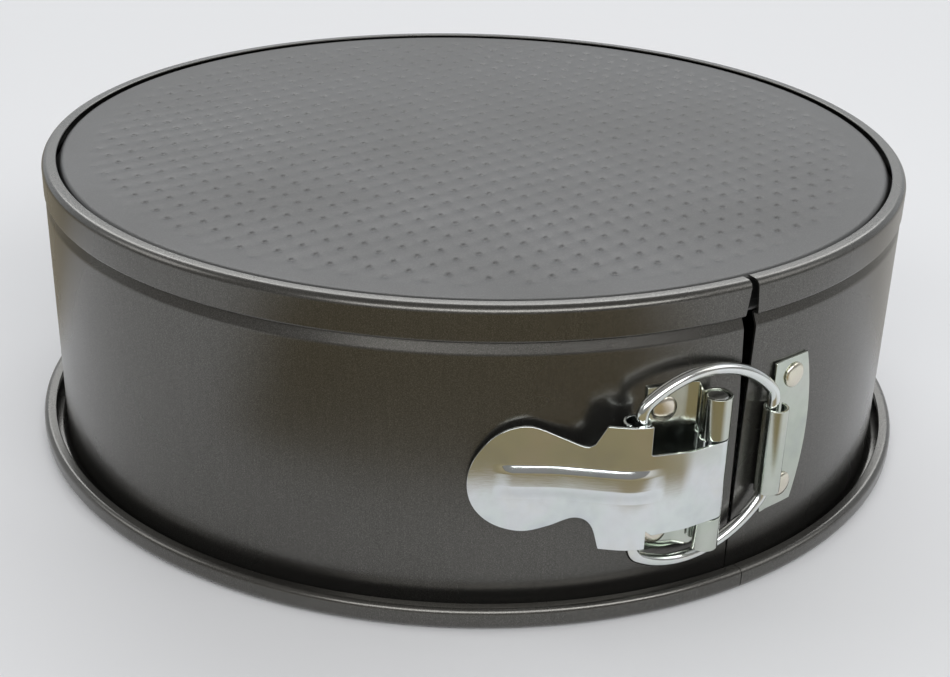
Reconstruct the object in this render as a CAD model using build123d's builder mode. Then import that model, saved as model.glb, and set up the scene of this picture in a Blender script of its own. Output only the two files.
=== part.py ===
"""Springform cake pan, 200 mm across, standing on its mouth with the base plate on top.

The origin is on the pan's axis, in the plane the mouth rests on. +Z points up, from the mouth
to the base. The split in the band faces -Y. Angles around the pan are measured from the split,
positive towards +X, the free end of the band.
"""
import os
from math import cos, radians, sin

from build123d import *

os.makedirs("parts", exist_ok=True)

# Band
wall_radius = 100.0           # outside of the cylindrical wall
pan_height = 67.0
band_sheet = 0.5
lip_inner_radius = 97.2       # turned-in lip that holds the base plate
channel_bulge = 0.2           # how far the base channel stands outside the wall
channel_height = 7.25         # from the lip's top to the ledge's underside
ledge_depth = 1.45            # how far the ledge under the base plate reaches inwards
rim_radius = 105.3            # outside of the curled mouth rim
rim_height = 5.05
rim_return = 2.4              # width of the curl's turned-in top edge

# Base plate
base_sheet = 0.6
plateau_recess = 0.4          # the plateau sits this far below the lip
plateau_gap = 0.6             # between the lip's edge and the plateau's side
flange_clearance = 0.5        # between the flange's edge and the channel wall
flange_lift = 0.3             # between the flange and the ledge

# Latch, shared
latch_sheet = 0.6
latch_height = 31.3           # mid height of the bail, the bracket and the lever's rib
seat_gap = 0.05               # between the band and the plates riveted to it
rivet_shank = 2.9
rivet_hole = 3.0
rivet_head = 5.4
rivet_head_height = 0.9
rivet_tail = 4.2
rivet_tail_height = 0.5

# Hinge plate, on the band's fixed end
hinge_plate_ends = (-13.0, -6.3)       # degrees
hinge_plate_levels = (12.6, 49.0)
hinge_plate_corner = 2.4
hinge_rivet_angle = -10.9
hinge_rivet_levels = {"upper": 44.2, "lower": 16.9}
pin_angle = -5.4
pin_radius_from_axis = 103.7
pin_diameter = 4.4
knuckle_outer = 5.9
upper_knuckle = (38.1, 46.9)
lever_knuckle = (20.8, 37.8)
lower_knuckle = (13.3, 20.5)

# Bracket, on the band's free end
bracket_ends = (4.2, 11.3)             # degrees
bracket_levels = (13.9, 47.9)
bracket_bow = 2.8                      # how far its free edge bows outwards
bracket_rivet_angle = 7.5
bracket_rivet_levels = {"upper": 43.9, "lower": 18.7}
tube_angle = 3.7
tube_radius_from_axis = 102.785
tube_outer = 5.2
tube_levels = (20.6, 39.6)

# Bail, a wire loop from the bracket's tube to the lever's ears
wire_diameter = 2.45
bail_leg_angle = 3.383                 # the leg lies on the tube's pulled side
bail_leg_radius_from_axis = 102.376
bail_leg_half = 10.07
bail_corner = (4.0, 42.0)              # radius, degrees turned
bail_crown = (23.5, 80.0)
bail_ear_bend = (3.4, 58.0)
bail_ear_drop = 0.45                   # straight end of the wire, towards the ear
bail_heading = 178.93                  # direction from the leg to the ears, degrees from +X

# Lever
ear_outer = 5.4
ear_slack = 0.85                       # the wire is pulled to one side of the ears by this much
ear_gap = 0.3                          # between the wire's ends and the ear tubes
ear_depth = 5.6
lever_view = -17.0                     # the outline is drawn square to this angle, degrees
lever_levels = (17.6, 45.0)
rib_levels = (28.3, 35.6)
rib_raise = 0.7
rib_ends = (-22.5, 9.0)                # along the outline


def around(radius, angle):
    """Plan position at an angle around the pan, measured from the split."""
    return Vector(radius * sin(radians(angle)), -radius * cos(radians(angle)))


def outward_plane(angle, radius=0.0):
    """Plane square to the outward direction at an angle, its y upwards."""
    spot = around(1.0, angle)
    return Plane(
        origin=(spot.X * radius, spot.Y * radius, 0.0),
        x_dir=(-spot.Y, spot.X, 0.0),
        z_dir=(spot.X, spot.Y, 0.0),
    )


def arc_run(radius, heading, turn):
    """Displacement along an arc that turns clockwise from a heading."""
    start, end = radians(heading), radians(heading - turn)
    return Vector(radius * (sin(start) - sin(end)), radius * (cos(end) - cos(start)))


# Derived sizes
wall_middle = wall_radius - band_sheet / 2
channel_middle = wall_middle + channel_bulge
lip_middle = pan_height - band_sheet / 2
ledge_middle = pan_height - channel_height + band_sheet / 2
ledge_radius = channel_middle - ledge_depth
rim_middle = rim_radius - band_sheet / 2
plate_middle = wall_radius + seat_gap + latch_sheet / 2
plate_outside = wall_radius + seat_gap + latch_sheet

pin_xy = around(pin_radius_from_axis, pin_angle)
tube_xy = around(tube_radius_from_axis, tube_angle)
bail_along = Vector(cos(radians(bail_heading)), sin(radians(bail_heading)))
leg_xy = around(bail_leg_radius_from_axis, bail_leg_angle)
corner_run = arc_run(bail_corner[0], 90, bail_corner[1])
crown_run = arc_run(bail_crown[0], 90 - bail_corner[1], bail_crown[1])
ear_run = arc_run(bail_ear_bend[0], 90 - bail_corner[1] - bail_crown[1], bail_ear_bend[1])
bail_span = corner_run.X + crown_run.X + ear_run.X
bail_end_half = bail_leg_half + corner_run.Y + crown_run.Y + ear_run.Y - bail_ear_drop
ear_xy = leg_xy + bail_along * (bail_span + ear_slack)
ear_top = latch_height + bail_end_half - ear_gap
ear_bottom = latch_height - bail_end_half + ear_gap

rivet_spots = [(hinge_rivet_angle, level) for level in hinge_rivet_levels.values()]
rivet_spots += [(bracket_rivet_angle, level) for level in bracket_rivet_levels.values()]


def drill_rivet_holes(spots):
    """Cut the rivet holes at (angle, level) spots, square to the wall."""
    for angle, level in spots:
        with BuildSketch(outward_plane(angle, wall_radius)) as hole:
            with Locations((0, level)):
                Circle(rivet_hole / 2)
        extrude(hole.sketch, amount=4, both=True, mode=Mode.SUBTRACT)


# Band: one strip of sheet, rolled to this section and bent to a split ring
band_section = [
    (lip_inner_radius, lip_middle),
    (channel_middle, lip_middle),
    (channel_middle, ledge_middle),
    (ledge_radius, ledge_middle),
    (wall_middle, ledge_middle - 2.8),
    (wall_middle, band_sheet / 2),
    (rim_middle, band_sheet / 2),
    (rim_middle, rim_height - band_sheet / 2),
    (rim_middle - rim_return, rim_height - band_sheet),
]
band_bends = [1.3, 0.4, 0.4, 2.0, 1.7, 1.8, 1.0]
split_outline = [
    (-0.1, -1), (-0.1, 6), (-0.55, 11), (-0.9, 40), (-1.9, 57), (-1.9, ledge_middle),
    (-0.8, pan_height + 1), (0.5, pan_height + 1), (1.2, ledge_middle), (1.2, 56),
    (0.7, 40), (0.3, 11), (0.1, 6), (0.1, -1),
]

with BuildPart() as band:
    with BuildSketch(Plane.XZ):
        with BuildLine():
            FilletPolyline(*band_section, radius=band_bends)
        trace(line_width=band_sheet)
    revolve(axis=Axis.Z)
    with BuildSketch(outward_plane(0, wall_radius)):
        Polygon(*split_outline, align=None)
    extrude(amount=8, both=True, mode=Mode.SUBTRACT)
    drill_rivet_holes(rivet_spots)
band.part.label = "band"

# Base plate: a raised plateau with a flange that sits in the band's channel
plateau_middle = pan_height - plateau_recess - base_sheet / 2
plateau_side = lip_inner_radius - plateau_gap - base_sheet / 2
flange_middle = ledge_middle + band_sheet / 2 + flange_lift + base_sheet / 2
flange_edge = channel_middle - band_sheet / 2 - flange_clearance

with BuildPart() as base_plate:
    with BuildSketch(Plane.XZ):
        with BuildLine():
            FilletPolyline(
                (0, plateau_middle),
                (plateau_side, plateau_middle),
                (plateau_side, flange_middle),
                (flange_edge, flange_middle),
                radius=[1.3, 0.8],
            )
        trace(line_width=base_sheet)
    revolve(axis=Axis.Z)
base_plate.part.label = "base_plate"


def plate_strip(ends, levels):
    """Sheet bent to lie on the band between two angles and two levels."""
    with BuildSketch(Plane.XY.offset(levels[0])) as section:
        with BuildLine():
            CenterArc((0, 0), plate_middle, ends[0] - 90, ends[1] - ends[0])
        trace(line_width=latch_sheet)
    extrude(section.sketch, amount=levels[1] - levels[0])


def rolled_tube(centre, outer, levels):
    """Sheet rolled to an upright tube between two levels."""
    with BuildSketch(Plane.XY.offset(levels[0])) as section:
        with Locations(centre):
            Circle(outer / 2)
    extrude(section.sketch, amount=levels[1] - levels[0])


def tube_bore(centre, outer, levels):
    """Clear the inside of a rolled tube, right through."""
    with BuildSketch(Plane.XY.offset(levels[0])) as section:
        with Locations(centre):
            Circle(outer / 2 - latch_sheet)
    extrude(section.sketch, amount=levels[1] - levels[0], mode=Mode.SUBTRACT)


def roll_web(start, end, levels):
    """Sheet that runs from a plate's edge to the tube rolled from it."""
    with BuildSketch(Plane.XY.offset(levels[0])) as section:
        with BuildLine():
            Line(start, end)
        trace(line_width=latch_sheet)
    extrude(section.sketch, amount=levels[1] - levels[0])


# Hinge plate: riveted plate with two knuckles rolled around the pin
with BuildPart() as hinge_plate:
    plate_strip(hinge_plate_ends, hinge_plate_levels)
    chamfer(hinge_plate.edges().filter_by(GeomType.LINE).filter_by(
        lambda edge: abs(edge.center().Z - sum(hinge_plate_levels) / 2) > 15
    ).sort_by(Axis.X)[-2:], hinge_plate_corner / 2)
    for levels in (upper_knuckle, lower_knuckle):
        rolled_tube(pin_xy, knuckle_outer, levels)
        roll_web(around(plate_middle, -7.5), around(plate_middle + 0.5, -6.0), levels)
        tube_bore(pin_xy, knuckle_outer, levels)
    drill_rivet_holes(rivet_spots[:2])
hinge_plate.part.label = "hinge_plate"

# Hinge pin
with BuildPart() as hinge_pin:
    with BuildSketch(Plane.XY.offset(lower_knuckle[0] + 0.2)):
        with Locations(pin_xy):
            Circle(pin_diameter / 2)
    extrude(amount=upper_knuckle[1] - lower_knuckle[0] - 0.4)
    fillet(hinge_pin.edges().filter_by(GeomType.CIRCLE), 0.5)
hinge_pin.part.label = "hinge_pin"

# Lever: a paddle, a neck, two shoulder tabs rolled into ears, and a knuckle on the pin
ear_normal = around(1.0, -25.0)
ear_over = ear_xy + ear_normal * (ear_outer - latch_sheet) / 2
pin_over = pin_xy + around(1.0, 0.0) * (knuckle_outer - latch_sheet) / 2
lever_path = [
    around(101.5, -33.5),
    around(102.4, -23.0),
    ear_over,
    around(107.3, -9.6),
    pin_over,
]
lever_bends = [26.0, 14.0, 14.0]


def lever_strip(levels, shift, width):
    """Band of sheet along the lever's plan path, moved outwards by shift."""
    outwards = around(1.0, lever_view) * shift
    with BuildSketch(Plane.XY.offset(levels[0])) as section:
        with BuildLine():
            FilletPolyline(*[spot + outwards for spot in lever_path], radius=lever_bends)
        trace(line_width=width)
    extrude(section.sketch, amount=levels[1] - levels[0])


with BuildPart() as lever_rib:
    lever_strip(rib_levels, (latch_sheet + rib_raise) / 2, rib_raise + 0.2)
    with BuildSketch(outward_plane(lever_view, 103.0)):
        with Locations((sum(rib_ends) / 2, sum(rib_levels) / 2)):
            SlotOverall(rib_ends[1] - rib_ends[0], rib_levels[1] - rib_levels[0])
    extrude(amount=12, both=True, mode=Mode.INTERSECT)

with BuildPart() as lever:
    lever_strip(lever_levels, 0.0, latch_sheet)
    with BuildSketch(outward_plane(lever_view, 103.0)):
        with BuildLine():
            Spline((-4.3, 40.6), (-5.9, 40.0), (-9.7, 41.4), (-15.9, 43.7), (-24.2, 39.2),
                   (-27.0, 31.6), (-24.9, 24.4), (-17.0, 21.0), (-11.9, 22.2), (-7.2, 24.5),
                   (-4.3, 23.2), (-2.7, ear_bottom), tangents=((-1, -0.4), (0.1, -1)))
            Polyline((-2.7, ear_bottom), (5.9, ear_bottom), (5.9, 22.6), (8.0, lever_knuckle[0]),
                     (26.0, lever_knuckle[0]), (26.0, lever_knuckle[1]), (8.0, lever_knuckle[1]),
                     (5.9, 39.0), (5.9, ear_top), (-2.3, ear_top), (-4.3, 40.6))
        make_face()
    extrude(amount=12, both=True, mode=Mode.INTERSECT)
    add(lever_rib.part)
    ear_spans = [(ear_bottom, ear_bottom + ear_depth), (ear_top - ear_depth, ear_top)]
    for levels in ear_spans:
        rolled_tube(ear_xy, ear_outer, levels)
    rolled_tube(pin_xy, knuckle_outer, lever_knuckle)
    for levels in ear_spans:
        tube_bore(ear_xy, ear_outer, levels)
    tube_bore(pin_xy, knuckle_outer, lever_knuckle)
lever.part.label = "lever"

# Bail: the upper half of the wire loop, mirrored
bail_plane = Plane(
    origin=(leg_xy.X, leg_xy.Y, latch_height),
    x_dir=(bail_along.X, bail_along.Y, 0),
    z_dir=(bail_along.Y, -bail_along.X, 0),
)
with BuildPart() as bail:
    with BuildLine(bail_plane) as bail_half:
        leg = Line((0, 0), (0, bail_leg_half))
        corner = JernArc(leg @ 1, (0, 1), bail_corner[0], -bail_corner[1])
        crown = JernArc(corner @ 1, corner % 1, bail_crown[0], -bail_crown[1])
        ear_bend = JernArc(crown @ 1, crown % 1, bail_ear_bend[0], -bail_ear_bend[1])
        Line(ear_bend @ 1, (bail_span, bail_end_half))
    with BuildSketch(Plane(origin=bail_plane.origin, z_dir=(0, 0, 1))):
        Circle(wire_diameter / 2)
    sweep(path=bail_half.wire())
    mirror(about=Plane.XY.offset(latch_height))
bail.part.label = "bail"

# Bracket: riveted plate with a tube rolled from its edge for the bail's leg
bracket_view = 7.5
bracket_half = plate_middle * sin(radians(bracket_ends[1] - bracket_view))
with BuildPart() as bracket:
    plate_strip(bracket_ends, bracket_levels)
    with BuildSketch(outward_plane(bracket_view, wall_radius)):
        with BuildLine():
            Polyline(
                (bracket_half - bracket_bow, bracket_levels[0]),
                (-bracket_half - 4, bracket_levels[0]),
                (-bracket_half - 4, bracket_levels[1]),
                (bracket_half - bracket_bow, bracket_levels[1]),
            )
            ThreePointArc(
                (bracket_half - bracket_bow, bracket_levels[1]),
                (bracket_half, sum(bracket_levels) / 2),
                (bracket_half - bracket_bow, bracket_levels[0]),
            )
        make_face()
    extrude(amount=6, both=True, mode=Mode.INTERSECT)
    rolled_tube(tube_xy, tube_outer, tube_levels)
    tube_bore(tube_xy, tube_outer, tube_levels)
    drill_rivet_holes(rivet_spots[2:])
bracket.part.label = "bracket"


def rivet(angle, level):
    """Rivet with a low domed head outside the plate and a flat tail inside the band."""
    with BuildPart() as piece:
        with BuildSketch(outward_plane(angle, plate_outside + 0.02)):
            with Locations((0, level)):
                Circle(rivet_head / 2)
        extrude(amount=rivet_head_height)
        fillet(piece.edges().sort_by_distance(around(200, angle))[0:1], rivet_head_height * 0.8)
        tail_face = wall_radius - band_sheet - 0.05
        with BuildSketch(outward_plane(angle, tail_face)):
            with Locations((0, level)):
                Circle(rivet_shank / 2)
        extrude(amount=plate_outside + 0.1 - tail_face)
        with BuildSketch(outward_plane(angle, tail_face)):
            with Locations((0, level)):
                Circle(rivet_tail / 2)
        extrude(amount=-rivet_tail_height)
    return piece.part


rivets = {}
for end, angle, levels in (
    ("hinge", hinge_rivet_angle, hinge_rivet_levels),
    ("bracket", bracket_rivet_angle, bracket_rivet_levels),
):
    for place, level in levels.items():
        name = f"{end}_rivet_{place}"
        rivets[name] = rivet(angle, level)
        rivets[name].label = name

export_step(band.part, "parts/band.step")
export_step(base_plate.part, "parts/base_plate.step")
export_step(hinge_plate.part, "parts/hinge_plate.step")
export_step(hinge_pin.part, "parts/hinge_pin.step")
export_step(lever.part, "parts/lever.step")
export_step(bail.part, "parts/bail.step")
export_step(bracket.part, "parts/bracket.step")
for name, piece in rivets.items():
    export_step(piece, f"parts/{name}.step")
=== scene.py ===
"""Looks of a springform pan lying mouth down, with its lever latch closed.

Lengths are worked out in millimetres and written to the meshes in metres. Angles around the pan
are in degrees, measured from the split in the band and positive towards +X.
"""
from math import cos, degrees, pi, radians, sin

import bpy
import numpy as np
from mathutils import Matrix, Vector
from mathutils.geometry import delaunay_2d_cdt


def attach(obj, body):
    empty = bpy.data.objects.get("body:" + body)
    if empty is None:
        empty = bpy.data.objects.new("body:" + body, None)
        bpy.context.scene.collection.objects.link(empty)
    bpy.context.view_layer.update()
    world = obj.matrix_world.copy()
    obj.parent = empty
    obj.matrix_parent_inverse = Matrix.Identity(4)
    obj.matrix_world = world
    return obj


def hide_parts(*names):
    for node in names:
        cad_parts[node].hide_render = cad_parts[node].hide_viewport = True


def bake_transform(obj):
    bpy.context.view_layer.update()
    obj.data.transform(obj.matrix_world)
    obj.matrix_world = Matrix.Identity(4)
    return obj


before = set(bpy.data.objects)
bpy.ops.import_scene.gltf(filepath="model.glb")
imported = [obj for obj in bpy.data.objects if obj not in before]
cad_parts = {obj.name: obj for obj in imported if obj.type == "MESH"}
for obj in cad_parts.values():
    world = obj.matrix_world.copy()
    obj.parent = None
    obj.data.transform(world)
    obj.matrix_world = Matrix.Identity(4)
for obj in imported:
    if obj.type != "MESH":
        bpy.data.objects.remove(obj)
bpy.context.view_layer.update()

MM = 0.001
TURN = 32.5                    # the camera stands this far round from the split
BAND_SHEET = 0.5
BASE_SHEET = 0.6
LATCH_SHEET = 0.6
PLATE_MIDDLE = 100.35          # middle of the sheet riveted to the band
LATCH_HEIGHT = 31.3            # mid height of the bail
LEVER_VIEW = -17.0             # the lever's outline is drawn square to this angle
RIVET_FACE = 100.67            # outside of the riveted plates


# ---------------------------------------------------------------- mesh helpers

def around(radius, angle):
    """Plan position at an angle around the pan."""
    return np.array([radius * sin(radians(angle)), -radius * cos(radians(angle))])


def make_object(name, verts, faces, normals, body, node, material):
    """Smooth mesh with its own normals, standing for a CAD node and riding on a body."""
    normals = normals / np.maximum(np.linalg.norm(normals, axis=1), 1e-9)[:, None]
    fixed = []
    for group in faces:
        p = verts[group]
        n = np.cross(p[:, 2] - p[:, 0], p[:, -1] - p[:, 1])
        flip = (n * normals[group].sum(1)).sum(1) < 0
        fixed += np.where(flip[:, None], group[:, ::-1], group).tolist()
    mesh = bpy.data.meshes.new(name)
    mesh.from_pydata((verts * MM).tolist(), [], fixed)
    mesh.polygons.foreach_set("use_smooth", [True] * len(mesh.polygons))
    mesh.update()
    mesh.normals_split_custom_set_from_vertices(normals.tolist())
    mesh.materials.append(material)
    obj = bpy.data.objects.new(name, mesh)
    bpy.context.scene.collection.objects.link(obj)
    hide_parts(node)
    if body:
        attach(obj, body)
    return obj


class Build:
    """Collects vertices, normals and faces of one piece."""

    def __init__(self):
        self.verts, self.normals, self.faces = [], [], []

    def grid(self, points, normals, close_rows=False, close_cols=False):
        """Adds a grid of points, rows by columns, with a normal at each."""
        points, normals = np.asarray(points, float), np.asarray(normals, float)
        rows, cols = points.shape[:2]
        base = sum(len(v) for v in self.verts)
        self.verts.append(points.reshape(-1, 3))
        self.normals.append(normals.reshape(-1, 3))
        i, j = np.meshgrid(np.arange(rows if close_rows else rows - 1),
                           np.arange(cols if close_cols else cols - 1), indexing="ij")
        down, over = (i + 1) % rows, (j + 1) % cols
        quads = np.stack([i * cols + j, i * cols + over, down * cols + over, down * cols + j], -1)
        self.faces.append(base + quads.reshape(-1, 4))

    def mesh(self, points, normals, faces):
        """Adds points with their normals and faces given by index."""
        base = sum(len(v) for v in self.verts)
        self.verts.append(np.asarray(points, float))
        self.normals.append(np.asarray(normals, float))
        self.faces.append(base + np.asarray(faces, int))

    def finish(self, name, body, node, material):
        """Turns what was collected into an object."""
        return make_object(name, np.vstack(self.verts), self.faces, np.vstack(self.normals),
                           body, node, material)


def fillet_path(points, radii, step=6.0):
    """Polyline with rounded corners, as dense points."""
    points = [np.asarray(p, float) for p in points]
    out = [points[0]]
    for k in range(1, len(points) - 1):
        a, b, c = points[k - 1], points[k], points[k + 1]
        u, v = (a - b) / np.linalg.norm(a - b), (c - b) / np.linalg.norm(c - b)
        half = np.arccos(np.clip(u @ v, -1, 1)) / 2
        radius = radii[k - 1]
        back = radius / np.tan(half)
        centre = b + (u + v) / np.linalg.norm(u + v) * radius / np.sin(half)
        start, end = b + u * back, b + v * back
        turn = pi - 2 * half
        count = max(3, int(np.ceil(degrees(turn) / step)))
        sign = np.sign(-u[0] * v[1] + u[1] * v[0])
        ray = start - centre
        for i in range(count + 1):
            t = sign * turn * i / count
            out.append(centre + np.array([ray[0] * cos(t) - ray[1] * sin(t),
                                          ray[0] * sin(t) + ray[1] * cos(t)]))
    out.append(points[-1])
    return np.array(out)


def refine(path, longest):
    """Adds points so that no step of a path is longer than this."""
    out = [path[0]]
    for a, b in zip(path[:-1], path[1:]):
        count = max(1, int(np.ceil(np.linalg.norm(b - a) / longest)))
        out += [a + (b - a) * i / count for i in range(1, count + 1)]
    return np.array(out)


def clean(path, least=1e-4):
    """Drops points that repeat the one before."""
    keep = [path[0]]
    for p in path[1:]:
        if np.linalg.norm(p - keep[-1]) > least:
            keep.append(p)
    return np.array(keep)


def tangents(path):
    """Unit direction at each point of an open path."""
    step = np.diff(path, axis=0)
    step /= np.linalg.norm(step, axis=1)[:, None]
    out = np.vstack([step[:1], step[:-1] + step[1:], step[-1:]])
    return out / np.linalg.norm(out, axis=1)[:, None]


END_STEPS = 5                  # steps round each end of a strip of sheet


def strip_outline(path, width):
    """Outline and outline normals of a strip of sheet that follows a path."""
    t = tangents(path)
    n = np.stack([t[:, 1], -t[:, 0]], 1)
    points, normals = [], []
    for p, q in zip(path, n):
        points.append(p + q * width / 2)
        normals.append(q)
    for end, first in ((-1, 1), (0, -1)):
        along = t[end] * first
        side = n[end] * first
        for k in range(1, END_STEPS):
            a = pi * k / END_STEPS
            d = side * cos(a) + along * sin(a)
            points.append(path[end] + d * width / 2)
            normals.append(d)
        if end == -1:
            for p, q in zip(path[::-1], n[::-1]):
                points.append(p - q * width / 2)
                normals.append(-q)
    return np.array(points), np.array(normals)


def spun(points, normals, angles):
    """Revolves a section of (radius, height) points about the pan's axis."""
    a = np.radians(angles)
    p = np.stack([points[:, 0] * np.sin(a), -points[:, 0] * np.cos(a),
                  np.broadcast_to(points[:, 1], a.shape)], -1)
    n = np.stack([normals[:, 0] * np.sin(a), -normals[:, 0] * np.cos(a),
                  np.broadcast_to(normals[:, 1], a.shape)], -1)
    return p, n


def turned(build, profile, origin, x, y, z, columns=48):
    """Adds a turned shape: a profile of (radius, height) along the local axis z."""
    pts = np.array(profile, float)
    t = tangents(pts)
    n = np.stack([t[:, 1], -t[:, 0]], 1)
    a = np.linspace(0, 2 * pi, columns, endpoint=False)
    ring = np.cos(a)[:, None] * x + np.sin(a)[:, None] * y
    points = origin + pts[None, :, 0, None] * ring[:, None, :] + pts[None, :, 1, None] * z
    normals = n[None, :, 0, None] * ring[:, None, :] + n[None, :, 1, None] * z
    build.grid(points, normals, close_rows=True)


# ---------------------------------------------------------------- materials

def material(name, colour, metallic, roughness, coat=0.0, coat_roughness=0.1):
    """Principled material with its constants on the shader's own sockets."""
    m = bpy.data.materials.new(name)
    m.use_nodes = True
    shader = m.node_tree.nodes["Principled BSDF"]
    shader.inputs["Base Color"].default_value = (*colour, 1)
    shader.inputs["Metallic"].default_value = metallic
    shader.inputs["Roughness"].default_value = roughness
    shader.inputs["Coat Weight"].default_value = coat
    shader.inputs["Coat Roughness"].default_value = coat_roughness
    return m, m.node_tree, shader


def noise(tree, vector, scale, detail=3.0, rough=0.5):
    """Noise texture; returns its value output."""
    n = tree.nodes.new("ShaderNodeTexNoise")
    n.inputs["Scale"].default_value = scale
    n.inputs["Detail"].default_value = detail
    n.inputs["Roughness"].default_value = rough
    tree.links.new(vector, n.inputs["Vector"])
    return n.outputs["Fac"]


def stretched(tree, scale):
    """Object coordinates stretched along the axes."""
    where = tree.nodes.new("ShaderNodeTexCoord")
    mapping = tree.nodes.new("ShaderNodeMapping")
    mapping.inputs["Scale"].default_value = scale
    tree.links.new(where.outputs["Object"], mapping.inputs["Vector"])
    return mapping.outputs["Vector"]


def ramp(tree, value, stops):
    """Colour ramp with (position, colour) stops."""
    r = tree.nodes.new("ShaderNodeValToRGB")
    r.color_ramp.elements[0].position = stops[0][0]
    r.color_ramp.elements[0].color = (*stops[0][1], 1)
    r.color_ramp.elements[1].position = stops[-1][0]
    r.color_ramp.elements[1].color = (*stops[-1][1], 1)
    for place, colour in stops[1:-1]:
        r.color_ramp.elements.new(place).color = (*colour, 1)
    tree.links.new(value, r.inputs["Fac"])
    return r.outputs["Color"]


def remap(tree, value, low, high, to_low, to_high):
    """Maps one range of a value to another, clamped."""
    r = tree.nodes.new("ShaderNodeMapRange")
    for key, number in zip(("From Min", "From Max", "To Min", "To Max"),
                           (low, high, to_low, to_high)):
        r.inputs[key].default_value = number
    tree.links.new(value, r.inputs["Value"])
    return r.outputs["Result"]


def bump(tree, height, distance, strength, shader, before=None):
    """Bump from a height, in metres of depth."""
    b = tree.nodes.new("ShaderNodeBump")
    b.inputs["Distance"].default_value = distance
    b.inputs["Strength"].default_value = strength
    tree.links.new(height, b.inputs["Height"])
    if before is not None:
        tree.links.new(before, b.inputs["Normal"])
    tree.links.new(b.outputs["Normal"], shader.inputs["Normal"])
    return b.outputs["Normal"]


def multiply_colour(tree, a, b):
    """Product of two colour outputs."""
    m = tree.nodes.new("ShaderNodeMix")
    m.data_type = "RGBA"
    m.blend_type = "MULTIPLY"
    m.inputs[0].default_value = 1.0
    tree.links.new(a, m.inputs[6])
    tree.links.new(b, m.inputs[7])
    return m.outputs[2]


def calculate(tree, operation, *values):
    """Math node on outputs and numbers; returns its value output."""
    n = tree.nodes.new("ShaderNodeMath")
    n.operation = operation
    for socket, value in zip(n.inputs, values):
        if isinstance(value, float):
            socket.default_value = value
        else:
            tree.links.new(value, socket)
    return n.outputs["Value"]


def camera_aligned(tree, vector):
    """Turns a vector about Z so that the camera stands at -Y; returns it and its parts."""
    turn = tree.nodes.new("ShaderNodeVectorRotate")
    turn.rotation_type = "Z_AXIS"
    turn.inputs["Angle"].default_value = radians(TURN)
    tree.links.new(vector, turn.inputs["Vector"])
    split = tree.nodes.new("ShaderNodeSeparateXYZ")
    tree.links.new(turn.outputs["Vector"], split.inputs["Vector"])
    return turn.outputs["Vector"], split.outputs


def nonstick_band():
    """Dark grey-brown coated steel: metal flake speckle over a fine vertical grain."""
    m, tree, shader = material("nonstick_band", (0.1, 0.095, 0.09), 0.9, 0.27, 0.25, 0.12)
    flake = noise(tree, stretched(tree, (1, 1, 1)), 5200, 2, 0.6)
    grain = noise(tree, stretched(tree, (2600, 2600, 90)), 1.0, 2, 0.5)
    cloud = noise(tree, stretched(tree, (1, 1, 1)), 22, 3, 0.5)
    speckle = ramp(tree, flake, [(0.30, (0.080, 0.078, 0.072)), (0.52, (0.115, 0.112, 0.104)),
                                 (0.74, (0.20, 0.195, 0.182))])
    streak = ramp(tree, grain, [(0.32, (0.92, 0.92, 0.92)), (0.68, (1.0, 1.0, 1.0))])
    tree.links.new(multiply_colour(tree, speckle, streak), shader.inputs["Base Color"])
    tree.links.new(remap(tree, cloud, 0.35, 0.65, 0.24, 0.31), shader.inputs["Roughness"])
    first = bump(tree, grain, 0.00002, 0.2, shader)
    bump(tree, flake, 0.00003, 0.35, shader, first)
    return m


def nonstick_base():
    """Satin grey coating over the pressed base, with faint clouding and fine grit."""
    m, tree, shader = material("nonstick_base", (0.09, 0.09, 0.09), 0.75, 0.42)
    flake = noise(tree, stretched(tree, (1, 1, 1)), 4200, 2, 0.6)
    cloud = noise(tree, stretched(tree, (1, 1, 1)), 16, 4, 0.55)
    speckle = ramp(tree, flake, [(0.30, (0.074, 0.074, 0.073)), (0.55, (0.091, 0.091, 0.090)),
                                 (0.78, (0.130, 0.130, 0.128))])
    tint = ramp(tree, cloud, [(0.35, (0.93, 0.93, 0.935)), (0.65, (1.0, 1.0, 0.995))])
    tree.links.new(multiply_colour(tree, speckle, tint), shader.inputs["Base Color"])
    tree.links.new(remap(tree, cloud, 0.35, 0.65, 0.38, 0.47), shader.inputs["Roughness"])
    bump(tree, flake, 0.00003, 0.3, shader)
    return m


def zinc(name, colour, roughness, along, wear=0.5):
    """Bright zinc plating: faint yellow, green and blue passivation tints and fine scratches."""
    m, tree, shader = material(name, colour, 1.0, roughness)
    tint = noise(tree, stretched(tree, (1, 1, 1)), 75, 3, 0.6)
    cloud = noise(tree, stretched(tree, (1, 1, 1)), 420, 4, 0.6)
    scratch = noise(tree, stretched(tree, along), 1.0, 3, 0.6)
    low, high = np.array(colour) * 0.93, np.minimum(np.array(colour) * 1.06, 1)
    hue = ramp(tree, tint, [(0.30, tuple(high * (1.0, 0.985, 0.93))), (0.45, tuple(high)),
                            (0.58, tuple(high * (0.965, 1.0, 0.965))),
                            (0.72, tuple(low * (0.97, 0.99, 1.02)))])
    shade = ramp(tree, cloud, [(0.30, (0.95, 0.95, 0.95)), (0.60, (1.0, 1.0, 1.0))])
    tree.links.new(multiply_colour(tree, hue, shade), shader.inputs["Base Color"])
    tree.links.new(remap(tree, cloud, 0.3, 0.7, roughness * 1.2, roughness * 0.85),
                   shader.inputs["Roughness"])
    first = bump(tree, scratch, 0.00001, wear * 0.5, shader)
    bump(tree, cloud, 0.00002, wear * 0.4, shader, first)
    return m


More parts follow.
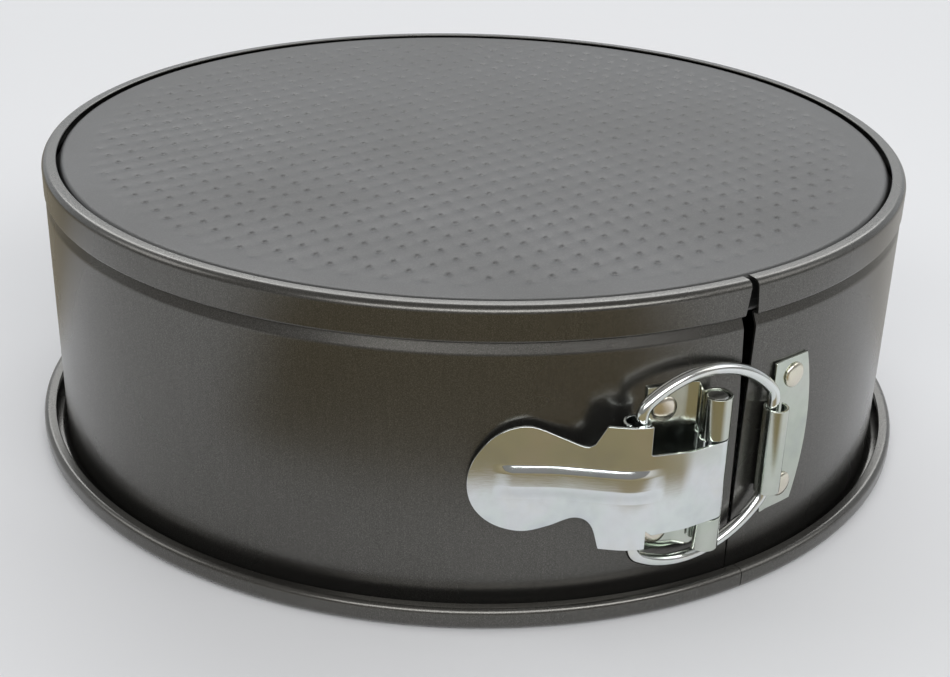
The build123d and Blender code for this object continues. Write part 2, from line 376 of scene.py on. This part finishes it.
band_material = nonstick_band()
base_material = nonstick_base()
lever_material = zinc("zinc_lever", (0.74, 0.765, 0.78), 0.10, (350, 350, 2600))
# The plates get a darker, greener zinc than the lever: painted shade, standing in for the dark
# reflections of the knuckle and band on the hinge plate.
plate_material_with_painted_shade = zinc("zinc_plate", (0.56, 0.59, 0.54), 0.14, (1600, 1600, 500), 0.7)
wire_material = zinc("zinc_wire", (0.75, 0.77, 0.77), 0.15, (2600, 2600, 300))
pin_material = zinc("zinc_pin", (0.72, 0.74, 0.74), 0.2, (1500, 1500, 1500))
rivet_material = zinc("nickel_rivet", (0.74, 0.69, 0.60), 0.2, (1300, 1300, 1300), 0.8)


# ---------------------------------------------------------------- band

band_middle = [
    (97.2, 66.75), (99.95, 66.75), (99.95, 60.0), (98.5, 60.0), (99.75, 57.2),
    (99.75, 0.25), (105.05, 0.25), (105.05, 4.8), (102.65, 4.55),
]
band_path = refine(fillet_path(band_middle, [1.3, 0.4, 0.4, 2.0, 1.7, 1.8, 1.0], 7.5), 6.0)
band_path = clean(band_path)
band_points, band_normals = strip_outline(band_path, BAND_SHEET)
# the split's edges: levels, and how far each stands to the side of the split's middle
left_edge = ([-1, 6, 11, 40, 57, 60, 68], [-0.1, -0.1, -0.55, -0.9, -1.9, -1.9, -0.8])
right_edge = ([-1, 6, 11, 40, 56, 60, 68], [0.1, 0.1, 0.3, 0.7, 1.2, 1.2, 0.5])


def edge_angles(edge):
    """Angle of the band's cut edge at each point of the section."""
    across = np.interp(band_points[:, 1], *edge)
    return np.degrees(np.arcsin(across / band_points[:, 0]))


def band_piece(name, body, start, end, columns, cut=None):
    """Stretch of the band between two angles, given for each point of the section.

    cut is the row of the grid, first or last, that the split's cut edge closes.
    """
    t = np.linspace(0, 1, columns)[:, None]
    angles = start + (end - start) * t
    piece = Build()
    points, normals = spun(band_points, band_normals, angles)
    piece.grid(points, normals, close_cols=True)
    if cut is not None:
        rim = points[cut]
        half = len(band_path)
        over = half + END_STEPS - 1
        facing = np.array([1.0, 0, 0]) * (1 if cut == -1 else -1)
        across = np.stack([rim[:half], rim[over:over + half][::-1]], 1)
        piece.grid(across, np.broadcast_to(facing, across.shape))
    return piece.finish(name, body, "band", band_material)


plain = np.zeros(len(band_points))
band_piece("band_fixed_side", "ring", plain - 90, edge_angles(left_edge), 110, -1)
band_piece("band_free_side", "band_end", edge_angles(right_edge), plain + 90, 110, 0)
band_back = band_piece("band_back", None, plain + 90, plain + 270, 200)
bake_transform(band_back)


# ---------------------------------------------------------------- base plate

PLATEAU_TOP = 66.6
GRID_REACH = 93.0              # the pressed grid ends here and the turned section begins
PIT_PITCH = 5.42
PIT_ANGLE = 35.4 - TURN
PIT_SHIFT = (0.35, 0.8)        # of the pattern against the pan's axis, in pitches
PIT_DEPTH = 0.34
PIT_WIDTH = 0.62
PIT_CELLS = 10                 # mesh cells to a pitch
PIT_RIM = 90.0                 # the pits fade out over the last 4 mm before this radius
MOUND = 0.10
MOUND_RIM = 91.5


def pit_height(x, y):
    """Height of the pressed pattern over the plateau."""
    c, s = cos(radians(PIT_ANGLE)), sin(radians(PIT_ANGLE))
    u = (x * c + y * s) / PIT_PITCH - PIT_SHIFT[0]
    v = (-x * s + y * c) / PIT_PITCH - PIT_SHIFT[1]
    du, dv = u - np.rint(u), v - np.rint(v)
    nx = (np.rint(u) + PIT_SHIFT[0]) * PIT_PITCH
    ny = (np.rint(v) + PIT_SHIFT[1]) * PIT_PITCH
    reach = np.hypot(nx, ny)
    strength = np.clip((PIT_RIM - reach) / 4.0, 0, 1)
    away = np.hypot(du, dv) * PIT_PITCH
    pit = -PIT_DEPTH * np.exp(-(away / PIT_WIDTH) ** 2)
    swell = -MOUND * (0.5 + 0.25 * (np.cos(2 * pi * du) + np.cos(2 * pi * dv)))
    fade = np.clip((MOUND_RIM - np.hypot(x, y)) / 4.0, 0, 1)
    fade = fade * fade * (3 - 2 * fade)
    return pit * strength + swell * fade


def base_plate():
    """Raised plateau with pressed pits, its rolled edge, side and flange."""
    c, s = cos(radians(PIT_ANGLE)), sin(radians(PIT_ANGLE))
    count = int(GRID_REACH / (PIT_PITCH / PIT_CELLS)) + PIT_CELLS + 2
    k = np.arange(-count, count + 1)
    gu, gv = np.meshgrid((k / PIT_CELLS + PIT_SHIFT[0]) * PIT_PITCH,
                         (k / PIT_CELLS + PIT_SHIFT[1]) * PIT_PITCH, indexing="ij")
    x, y = gu * c - gv * s, gu * s + gv * c
    r = np.hypot(x, y)
    inside = r <= GRID_REACH
    quad = inside[:-1, :-1] | inside[1:, :-1] | inside[:-1, 1:] | inside[1:, 1:]
    used = np.zeros_like(inside)
    for a in (0, 1):
        for b in (0, 1):
            used[a:a + quad.shape[0], b:b + quad.shape[1]] |= quad
    snap = used & ~inside
    x = np.where(snap, x * GRID_REACH / r, x)
    y = np.where(snap, y * GRID_REACH / r, y)
    index = -np.ones(used.shape, int)
    index[used] = np.arange(used.sum())
    i, j = np.nonzero(quad)
    quads = np.stack([index[i, j], index[i + 1, j], index[i + 1, j + 1], index[i, j + 1]], 1)
    px, py = x[used], y[used]
    step = 0.02
    z = pit_height(px, py)
    gx = (pit_height(px + step, py) - pit_height(px - step, py)) / (2 * step)
    gy = (pit_height(px, py + step) - pit_height(px, py - step)) / (2 * step)
    up = np.stack([-gx, -gy, np.ones_like(gx)], 1)
    piece = Build()
    piece.mesh(np.stack([px, py, PLATEAU_TOP + z], 1), up, quads)
    piece.mesh(np.stack([px, py, PLATEAU_TOP - BASE_SHEET + z], 1), -up, quads)
    path = refine(fillet_path([(GRID_REACH, 66.3), (96.3, 66.3), (96.3, 60.85), (98.9, 60.85)],
                              [1.3, 0.8], 7.5), 1.5)
    points, normals = strip_outline(clean(path), BASE_SHEET)
    angles = np.linspace(0, 360, 360, endpoint=False)[:, None] + np.zeros(len(points))
    piece.grid(*spun(points, normals, angles), close_rows=True, close_cols=True)
    piece.finish("base_plate_pressed", "base", "base_plate", base_material)


base_plate()


# ---------------------------------------------------------------- latch sheet pieces

def dense_loop(corners, longest=0.35):
    """Closed outline with points no further apart than this."""
    corners = [np.asarray(c, float) for c in corners]
    loop = refine(np.array(corners + [corners[0]]), longest)
    return clean(loop[:-1], 0.02)


SPOT_GAP = 0.16                # least room between a sheet's edge and its inner mesh points


def sheet(build, loop, path, outward, height=None, step=(0.35, 0.6), edge=0.13):
    """Bent sheet with rounded edges.

    loop is its outline as (along the path, level), outward is the side of the path that the
    front faces, and height is a function of both that raises the front and the back.
    """
    path = clean(path)
    run = np.concatenate([[0], np.cumsum(np.linalg.norm(np.diff(path, axis=0), axis=1))])
    t = tangents(path)

    def place(s):
        """Position, direction and outward normal at distances along the path."""
        p = np.stack([np.interp(s, run, path[:, k]) for k in (0, 1)], -1)
        d = np.stack([np.interp(s, run, t[:, k]) for k in (0, 1)], -1)
        d /= np.linalg.norm(d, axis=-1)[..., None]
        n = np.stack([d[..., 1], -d[..., 0]], -1) * outward
        return p, d, n

    area = np.sum(loop[:, 0] * np.roll(loop[:, 1], -1) - loop[:, 1] * np.roll(loop[:, 0], -1))
    if area < 0:
        loop = loop[::-1]
    forward = np.roll(loop, -1, axis=0) - loop
    forward /= np.linalg.norm(forward, axis=1)[:, None]
    side = np.stack([forward[:, 1], -forward[:, 0]], 1)
    before = np.roll(side, 1, axis=0)
    miter = side + before
    miter /= np.linalg.norm(miter, axis=1)[:, None]
    longer = 1 / np.maximum((miter * side).sum(1), 0.5)
    inner = loop - miter * (edge * longer)[:, None]
    low, high = loop.min(0), loop.max(0)
    gs, gz = np.meshgrid(np.arange(low[0] + step[0] / 2, high[0], step[0]),
                         np.arange(low[1] + step[1] / 2, high[1], step[1]), indexing="ij")
    spots = np.stack([gs.ravel(), gz.ravel()], 1)
    gap = np.full(len(spots), 1e9)
    hit = np.zeros(len(spots), bool)
    for a, b in zip(loop, np.roll(loop, -1, axis=0)):
        d = b - a
        w = np.clip(((spots - a) @ d) / (d @ d), 0, 1)
        gap = np.minimum(gap, np.linalg.norm(spots - a - w[:, None] * d, axis=1))
        cross = (a[1] > spots[:, 1]) != (b[1] > spots[:, 1])
        if a[1] != b[1]:
            crossing = (b[0] - a[0]) * (spots[:, 1] - a[1]) / (b[1] - a[1]) + a[0]
            hit ^= cross & (spots[:, 0] < crossing)
    spots = spots[hit & (gap > edge + SPOT_GAP)]
    flat_points = [Vector(p) for p in np.vstack([inner, spots])]
    made = delaunay_2d_cdt(flat_points, [], [list(range(len(inner)))], 1, 1e-6)
    spread = np.array([tuple(v) for v in made[0]])
    triangles = [tuple(f) for f in made[2]]

    def rise(sz):
        """Height of the pressed shape at outline positions."""
        return height(sz[:, 0], sz[:, 1]) if height else np.zeros(len(sz))

    def face(sz, where):
        """Points and normals of the sheet's outer (1) or inner (-1) side."""
        p, d, n = place(sz[:, 0])
        h = rise(sz)
        e = 0.02
        hs = (rise(sz + (e, 0)) - rise(sz - (e, 0))) / (2 * e)
        hz = (rise(sz + (0, e)) - rise(sz - (0, e))) / (2 * e)
        at = np.column_stack([p + n * (h + where * LATCH_SHEET / 2)[:, None], sz[:, 1]])
        out = np.column_stack([n - d * hs[:, None], -hz]) * where
        return at, out

    for where in (1, -1):
        build.mesh(*face(spread, where), triangles)
    rows, row_normals = [], []
    h = rise(loop)
    fall = [(pi / 2 * k / 3, 1) for k in range(4)] + [(pi / 2 * k / 3, -1) for k in (3, 2, 1, 0)]
    for a, where in fall:
        sz = inner + miter * (edge * longer * sin(a))[:, None]
        p, d, n = place(sz[:, 0])
        level = where * (LATCH_SHEET / 2 - edge * (1 - cos(a)))
        rows.append(np.column_stack([p + n * (h + level)[:, None], sz[:, 1]]))
        flatwise = np.column_stack([d * miter[:, :1], miter[:, 1]])
        lift = np.column_stack([n * where, np.zeros(len(n))])
        row_normals.append(flatwise * sin(a) + lift * cos(a))
    build.grid(np.array(rows), np.array(row_normals), close_cols=True)


def roll(centre, radius, start, sweep, step=7.0):
    """Arc of a rolled knuckle around a centre, angles in degrees from +X."""
    count = int(abs(sweep) / step) + 1
    a = np.radians(start + np.linspace(0, sweep, count))
    return centre + radius * np.stack([np.cos(a), np.sin(a)], 1)


def ease(a, ta, b, tb, count=14):
    """Smooth run between two points with given directions."""
    size = np.linalg.norm(b - a)
    w = np.linspace(0, 1, count)[:, None]
    return ((2 * w ** 3 - 3 * w ** 2 + 1) * a + (w ** 3 - 2 * w ** 2 + w) * size * ta
            + (-2 * w ** 3 + 3 * w ** 2) * b + (w ** 3 - w ** 2) * size * tb)


def length(path):
    """Length of a path."""
    return float(np.linalg.norm(np.diff(path, axis=0), axis=1).sum())


def arc(radius, start, end, step=0.25):
    """Run around the pan at one radius between two angles."""
    a = np.linspace(start, end, max(2, int(abs(end - start) / step)))
    return np.array([around(radius, k) for k in a])


pin_xy = around(103.7, -5.4)
tube_xy = around(102.785, 3.7)
KNUCKLE_MIDDLE = 2.65          # middle of the rolled sheet, from the pin's axis
TUBE_MIDDLE = 2.3

# Hinge plate: the knuckles roll outwards around the pin
plate_run = arc(PLATE_MIDDLE, -13.0, -8.3)
roll_start = 101.0
knuckle = roll(pin_xy, KNUCKLE_MIDDLE, roll_start, -282)
into = np.array([sin(radians(roll_start)), -cos(radians(roll_start))])
web = ease(plate_run[-1], tangents(plate_run)[-1], knuckle[0], into)
hinge_path = np.vstack([plate_run, web, knuckle])
plate_edge = PLATE_MIDDLE * radians(13.0 - 6.3)
full = length(hinge_path)
hinge_loop = dense_loop([
    (0, 12.6), (plate_edge, 12.6), (plate_edge + 0.7, 13.3), (full, 13.3), (full, 20.5),
    (plate_edge, 20.5), (plate_edge, 38.1), (full, 38.1), (full, 46.9), (plate_edge + 0.2, 46.9),
    (plate_edge - 0.9, 49.0), (0, 49.0),
])
hinge = Build()
sheet(hinge, hinge_loop, hinge_path, 1)
hinge.finish("hinge_plate_rolled", "ring", "hinge_plate", plate_material_with_painted_shade)

# Bracket: its tongue rolls outwards into the tube that holds the bail
plate_run = arc(PLATE_MIDDLE, 11.3, 5.8)
roll_start = 82.0
knuckle = roll(tube_xy, TUBE_MIDDLE, roll_start, 296)
into = np.array([-sin(radians(roll_start)), cos(radians(roll_start))])
web = ease(plate_run[-1], tangents(plate_run)[-1], knuckle[0], into)
bracket_path = np.vstack([plate_run, web, knuckle])
plate_edge = PLATE_MIDDLE * radians(11.3 - 4.2)
full = length(bracket_path)
# the free edge bows outwards by 2.8 between its corners
bow = [(2.8 * (abs(k - 12) / 12) ** 2, 13.9 + 34.0 * k / 24) for k in range(24, -1, -1)]
bracket_loop = dense_loop(bow + [
    (plate_edge, 13.9), (plate_edge, 20.6), (full, 20.6), (full, 39.6), (plate_edge, 39.6),
    (plate_edge, 47.9),
])
bracket = Build()
sheet(bracket, bracket_loop, bracket_path, -1)
bracket.finish("bracket_rolled", "band_end", "bracket", plate_material_with_painted_shade)


# ---------------------------------------------------------------- bail

WIRE_RADIUS = 1.225
END_ROUND = 0.35               # rounding of the wire's ends
EAR_GAP = 0.3                  # from the top of an ear to where the wire enters it


def arc_run(radius, heading, turn):
    """Displacement along an arc that turns clockwise from a heading."""
    start, end = radians(heading), radians(heading - turn)
    return np.array([radius * (sin(start) - sin(end)), radius * (cos(end) - cos(start))])


# the upper half of the loop: straight leg, corner, crown, ear bend, and an end that drops into
# the lever's ear
bail_along = np.array([cos(radians(178.93)), sin(radians(178.93))])
leg_xy = around(102.376, 3.383)
half = [np.array([0.0, k]) for k in np.linspace(0, 10.07, 12)]
heading = 90.0
for radius, turn in ((4.0, 42.0), (23.5, 80.0), (3.4, 58.0)):
    start = half[-1]
    count = max(8, int(turn * radius / 12))
    half += [start + arc_run(radius, heading, turn * k / count) for k in range(1, count + 1)]
    heading -= turn
bail_end = half[-1] - (0, 0.45)
half += [bail_end - (0, k) for k in (0.0, 0.8, 1.6, 2.4, 3.4)]
half = np.array(half)
loop_line = np.vstack([half[::-1], half[1:] * (1, -1)])
bail_line = np.column_stack([leg_xy + loop_line[:, :1] * bail_along,
                             loop_line[:, 1] + LATCH_HEIGHT])


def wire(build, line, radius, sides=24):
    """Round wire along a flat line, with rounded ends."""
    step = np.diff(line, axis=0)
    step /= np.linalg.norm(step, axis=1)[:, None]
    t = np.vstack([step[:1], step[:-1] + step[1:], step[-1:]])
    t /= np.linalg.norm(t, axis=1)[:, None]
    over = np.array([bail_along[1], -bail_along[0], 0.0])
    a = np.linspace(0, 2 * pi, sides, endpoint=False)
    points, normals = [], []

    def ring(spot, along, size, lean):
        """One ring of points, its normals leaning along the wire."""
        side = np.cross(along, over)
        d = np.cos(a)[:, None] * over + np.sin(a)[:, None] * side
        points.append(spot + d * size)
        normals.append(d * cos(lean) + along * sin(lean))

    for k in range(4):
        lean = pi / 2 * (1 - k / 4)
        ring(line[0] - t[0] * END_ROUND * sin(lean), t[0],
             radius - END_ROUND * (1 - cos(lean)), -lean)
    for p, q in zip(line, t):
        ring(p, q, radius, 0.0)
    for k in range(1, 5):
        lean = pi / 2 * k / 4
        ring(line[-1] + t[-1] * END_ROUND * sin(lean), t[-1],
             radius - END_ROUND * (1 - cos(lean)), lean)
    build.grid(np.array(points), np.array(normals), close_cols=True)
    for end, along in ((points[0], -t[0]), (points[-1], t[-1])):
        build.mesh(end, np.broadcast_to(along, end.shape), [tuple(range(sides))])


bail = Build()
wire(bail, bail_line, WIRE_RADIUS)
bail.finish("bail_wire", "bail", "bail", wire_material)


# ---------------------------------------------------------------- lever

EAR_MIDDLE = 2.4               # middle of the rolled ear, from its axis
EAR_SLACK = 0.85               # the wire is pulled to one side of the ears by this much
EAR_DEPTH = 5.6
KNUCKLE_LEVELS = (20.8, 37.8)
RIB_RAISE = 0.7
RIB_LEVELS = (28.3, 35.6)
RIB_FADE = (-22.5, 9.5)        # the rib's soft ends, along the outline

ear_xy = leg_xy + bail_along * (bail_end[0] + EAR_SLACK)
ear_over = ear_xy + around(1.0, -25.0) * EAR_MIDDLE
pin_over = pin_xy + around(1.0, 0.0) * KNUCKLE_MIDDLE
lever_run = fillet_path([around(101.5, -33.5), around(102.4, -23.0), ear_over,
                         around(107.3, -9.6), pin_over], [26.0, 14.0, 14.0], 2.0)
lever_run = refine(clean(lever_run), 0.5)
knuckle = roll(pin_xy, KNUCKLE_MIDDLE, -90.0, 290)
lever_path = np.vstack([lever_run, knuckle[1:]])
across = np.array([cos(radians(LEVER_VIEW)), sin(radians(LEVER_VIEW))])
run_u = lever_run @ across
run_s = np.concatenate([[0], np.cumsum(np.linalg.norm(np.diff(lever_run, axis=0), axis=1))])
lever_full = length(lever_path)


def rib_height(s, z):
    """Pressed rib along the paddle and the body: a crisp upper foot and soft ends."""
    u = np.interp(s, run_s, run_u)
    over = np.clip((RIB_LEVELS[1] - z) / 1.5, 0, 1)
    under = np.clip((z - RIB_LEVELS[0]) / 2.9, 0, 1)
    upper = 1 - (1 - over) ** 1.3
    lower = under * under * (3 - 2 * under)
    left = np.clip((u - RIB_FADE[0]) / 4.0, 0, 1)
    right = np.clip((RIB_FADE[1] - u) / 7.5, 0, 1)
    ends = left * left * (3 - 2 * left) * right * right * (3 - 2 * right)
    return RIB_RAISE * upper * lower * ends


def curve(points, count=10):
    """Smooth curve through points, Catmull-Rom."""
    points = np.array(points, float)
    p = np.vstack([2 * points[0] - points[1], points, 2 * points[-1] - points[-2]])
    out = []
    for k in range(1, len(p) - 2):
        for i in range(count):
            w = i / count
            out.append(0.5 * (2 * p[k] + (p[k + 1] - p[k - 1]) * w
                              + (2 * p[k - 1] - 5 * p[k] + 4 * p[k + 1] - p[k + 2]) * w ** 2
                              + (-p[k - 1] + 3 * p[k] - 3 * p[k + 1] + p[k + 2]) * w ** 3))
    out.append(p[-2])
    return out


ear_top, ear_bottom = LATCH_HEIGHT + bail_end[1] - EAR_GAP, LATCH_HEIGHT - bail_end[1] + EAR_GAP
paddle = curve([(-4.3, 40.6), (-5.9, 40.0), (-9.7, 41.4), (-15.9, 43.7), (-21.5, 42.0),
                (-25.6, 37.0), (-27.0, 31.6), (-25.9, 26.4), (-22.3, 22.6), (-17.0, 21.0),
                (-11.9, 22.2), (-7.2, 24.5), (-4.3, 23.2), (-2.7, ear_bottom)])
lower = [(5.9, ear_bottom), (5.9, 21.9), (7.2, KNUCKLE_LEVELS[0])]
upper = [(15.0, KNUCKLE_LEVELS[1]), (7.0, 38.4), (6.1, 38.55), (5.9, 38.8), (5.9, ear_top),
         (-2.3, ear_top)]
before, after = (
    [(np.interp(u, run_u, run_s), z) for u, z in side] for side in (paddle + lower, upper))
lever_loop = dense_loop(before + [(lever_full, k) for k in KNUCKLE_LEVELS] + after)
lever = Build()
sheet(lever, lever_loop, lever_path, 1, rib_height, (0.3, 0.4))
# the ears are rolled from the tabs' own sheet, so their first turn lies just behind it
near = lever_run[np.argmin(np.linalg.norm(lever_run - ear_xy, axis=1))]
way = (near - ear_xy) / np.linalg.norm(near - ear_xy)
ear_centre = near - way * (EAR_MIDDLE + 0.32)
for low, high in ((ear_bottom, ear_bottom + EAR_DEPTH), (ear_top - EAR_DEPTH, ear_top)):
    ear_path = roll(ear_centre, EAR_MIDDLE, degrees(np.arctan2(way[1], way[0])), 325)
    size = length(ear_path)
    sheet(lever, dense_loop([(0, low), (size, low), (size, high), (0, high)]), ear_path, 1,
          step=(0.3, 0.8))
lever.finish("lever_pressed", "lever", "lever", lever_material)


# ---------------------------------------------------------------- pin and rivets

def bead(radius, bottom, top, round_off):
    """Turned profile of a rod end to end, with rounded ends."""
    out = [(0.0, bottom)]
    for k in range(7):
        a = pi / 2 * k / 6
        out.append((radius - round_off * (1 - sin(a)), bottom + round_off * (1 - cos(a))))
    for k in range(7):
        a = pi / 2 * (1 - k / 6)
        out.append((radius - round_off * (1 - sin(a)), top - round_off * (1 - cos(a))))
    out.append((0.0, top))
    return out


X, Y, Z = np.eye(3)
pin = Build()
turned(pin, bead(2.2, 13.5, 46.7, 0.5), np.array([*pin_xy, 0.0]), X, Y, Z)
pin.finish("hinge_pin_rod", "ring", "hinge_pin", pin_material)


def rivet(node, body, angle, level):
    """Rivet with a low dome outside the plate and a flat tail inside the band."""
    out = np.array([*around(1.0, angle), 0.0])
    side = np.array([-out[1], out[0], 0.0])
    face = RIVET_FACE
    dome = [(2.7 * sin(radians(a)) ** 0.9 if a else 0.0, face + 0.12 + 0.78 * cos(radians(a)))
            for a in range(0, 91, 9)]
    profile = [(0.0, 98.95), (1.9, 98.95), (2.06, 99.0), (2.1, 99.12), (2.1, 99.38), (2.0, 99.45),
               (1.45, 99.45), (1.45, 100.6), (1.5, face), (2.6, face), (2.69, face + 0.05)]
    piece = Build()
    turned(piece, profile + dome[::-1], level * Z, side, Z, out)
    piece.finish(f"{node}_domed", body, node, rivet_material)


rivet("hinge_rivet_upper", "ring", -10.9, 44.2)
rivet("hinge_rivet_lower", "ring", -10.9, 16.9)
rivet("bracket_rivet_upper", "band_end", 7.5, 43.9)
rivet("bracket_rivet_lower", "band_end", 7.5, 18.7)


# ---------------------------------------------------------------- stage, light and camera

# The glossy wall and lever mirror the floor. In life that is white paper round the pan with a
# brown desk beyond it, so the floor is pale, and brown in reflections only. Each edge is where the
# desk fades in, in metres from the axis; each sector is (bearing from the camera, strength).
PAPER = (0.80, 0.81, 0.83)
DESK = (0.225, 0.17, 0.06)
FRONT_EDGE = (0.150, 0.160)
FRONT_SECTOR = ((-0.85, 0.0), (-0.6, 1.0), (0.55, 1.0), (0.85, 0.0))
SIDE_EDGE = (0.106, 0.122)
SIDE_SECTOR = ((-3.1, 0.5), (-2.5, 0.85), (-1.85, 0.85), (-1.6, 0.0), (1.6, 0.0), (1.8, 0.4),
               (2.5, 0.4), (3.1, 0.5))


def stage_plane(name, size, place):
    """Flat square of the stage, not part of the object."""
    mesh = bpy.data.meshes.new(name)
    h = size / 2
    mesh.from_pydata([(-h, -h, 0), (h, -h, 0), (h, h, 0), (-h, h, 0)], [], [(0, 1, 2, 3)])
    obj = bpy.data.objects.new(name, mesh)
    obj.location = place
    bpy.context.scene.collection.objects.link(obj)
    return obj


def floor_material():
    """Pale floor that shows the desk in reflections."""
    m, tree, shader = material("floor", PAPER, 0.0, 0.6)
    where = tree.nodes.new("ShaderNodeNewGeometry")
    spot, parts = camera_aligned(tree, where.outputs["Position"])
    distance = tree.nodes.new("ShaderNodeVectorMath")
    distance.operation = "LENGTH"
    tree.links.new(spot, distance.inputs[0])
    towards = calculate(tree, "MULTIPLY", parts["Y"], -1.0)
    bearing = remap(tree, calculate(tree, "ARCTAN2", parts["X"], towards), -pi, pi, 0.0, 1.0)
    desk = []
    for edge, stops in ((FRONT_EDGE, FRONT_SECTOR), (SIDE_EDGE, SIDE_SECTOR)):
        sector = ramp(tree, bearing, [(0.5 + a / (2 * pi), (k, k, k)) for a, k in stops])
        beyond = remap(tree, distance.outputs["Value"], *edge, 0.0, 1.0)
        desk.append(calculate(tree, "MULTIPLY", sector, beyond))
    mirrored = tree.nodes.new("ShaderNodeLightPath").outputs["Is Glossy Ray"]
    seen = calculate(tree, "MULTIPLY", calculate(tree, "MAXIMUM", *desk), mirrored)
    tree.links.new(ramp(tree, seen, [(0.0, PAPER), (1.0, DESK)]), shader.inputs["Base Color"])
    return m


floor = stage_plane("floor", 8.0, (0, 0, -0.0002))
floor.data.materials.append(floor_material())

world = bpy.data.worlds.new("studio")
world.use_nodes = True
sky = world.node_tree
direction = sky.nodes.new("ShaderNodeTexCoord")
_, sky_parts = camera_aligned(sky, direction.outputs["Generated"])
behind = remap(sky, sky_parts["Y"], -0.05, 0.7, 0.0, 1.0)
low_down = remap(sky, sky_parts["Z"], 0.55, 0.9, 1.0, 0.25)
wall_light = calculate(sky, "MULTIPLY", behind, low_down)
room = ramp(sky, wall_light, [(0.0, (0.32, 0.31, 0.30)), (1.0, (0.88, 0.91, 0.94))])
background = sky.nodes["Background"]
sky.links.new(room, background.inputs["Color"])
background.inputs["Strength"].default_value = 0.75
bpy.context.scene.world = world


def turned_xy(x, y):
    """From camera-aligned plan position to the row frame, in metres."""
    c, s = cos(radians(-TURN)), sin(radians(-TURN))
    return x * c - y * s, x * s + y * c


def area_light(name, place, aim, size, power):
    """Soft lamp at a camera-aligned place, aimed at another."""
    data = bpy.data.lights.new(name, "AREA")
    data.shape = "RECTANGLE"
    data.size, data.size_y = size
    data.energy = power
    obj = bpy.data.objects.new(name, data)
    obj.location = (*turned_xy(*place[:2]), place[2])
    way = Vector((*turned_xy(*aim[:2]), aim[2])) - obj.location
    obj.rotation_mode = "QUATERNION"
    obj.rotation_quaternion = way.to_track_quat("-Z", "Y")
    bpy.context.scene.collection.objects.link(obj)


area_light("front_lamp", (0.2, -1.0, 0.82), (0, 0, 0), (1.9, 0.5), 13.0)
area_light("back_window", (0.0, 1.25, 1.0), (0, 0, 0.03), (2.0, 0.5), 10.0)
area_light("left_window", (-1.2, 0.0, 0.8), (0, 0, 0.03), (0.6, 0.6), 2.0)
area_light("right_fill", (1.2, -0.1, 0.8), (0, 0, 0.03), (0.7, 0.7), 2.0)

SENSOR = 36.0
FOCAL_SHARE = 1497.96 / 950    # focal length over the picture's width
CAMERA_PLACE = (0, -0.34409, 0.17687)

camera_data = bpy.data.cameras.new("camera")
camera_data.sensor_fit = "HORIZONTAL"
camera_data.sensor_width = SENSOR
camera_data.lens = FOCAL_SHARE * SENSOR
camera_data.clip_start, camera_data.clip_end = 0.01, 20.0
camera = bpy.data.objects.new("camera", camera_data)
pitch, yaw, tilt = radians(25.43), 0.0038, 0.0282
ahead = Vector((sin(yaw) * cos(pitch), cos(yaw) * cos(pitch), -sin(pitch)))
right = ahead.cross(Vector((0, 0, 1))).normalized()
above = right.cross(ahead)
right, above = cos(tilt) * right + sin(tilt) * above, cos(tilt) * above - sin(tilt) * right
turn_matrix = Matrix.Rotation(radians(-TURN), 3, "Z")
axes = Matrix((right, above, -ahead)).transposed()
camera.matrix_world = (Matrix.Translation(turn_matrix @ Vector(CAMERA_PLACE))
                       @ (turn_matrix @ axes).to_4x4())
bpy.context.scene.collection.objects.link(camera)
bpy.context.scene.camera = camera
bpy.context.scene.view_settings.view_transform = "Standard"
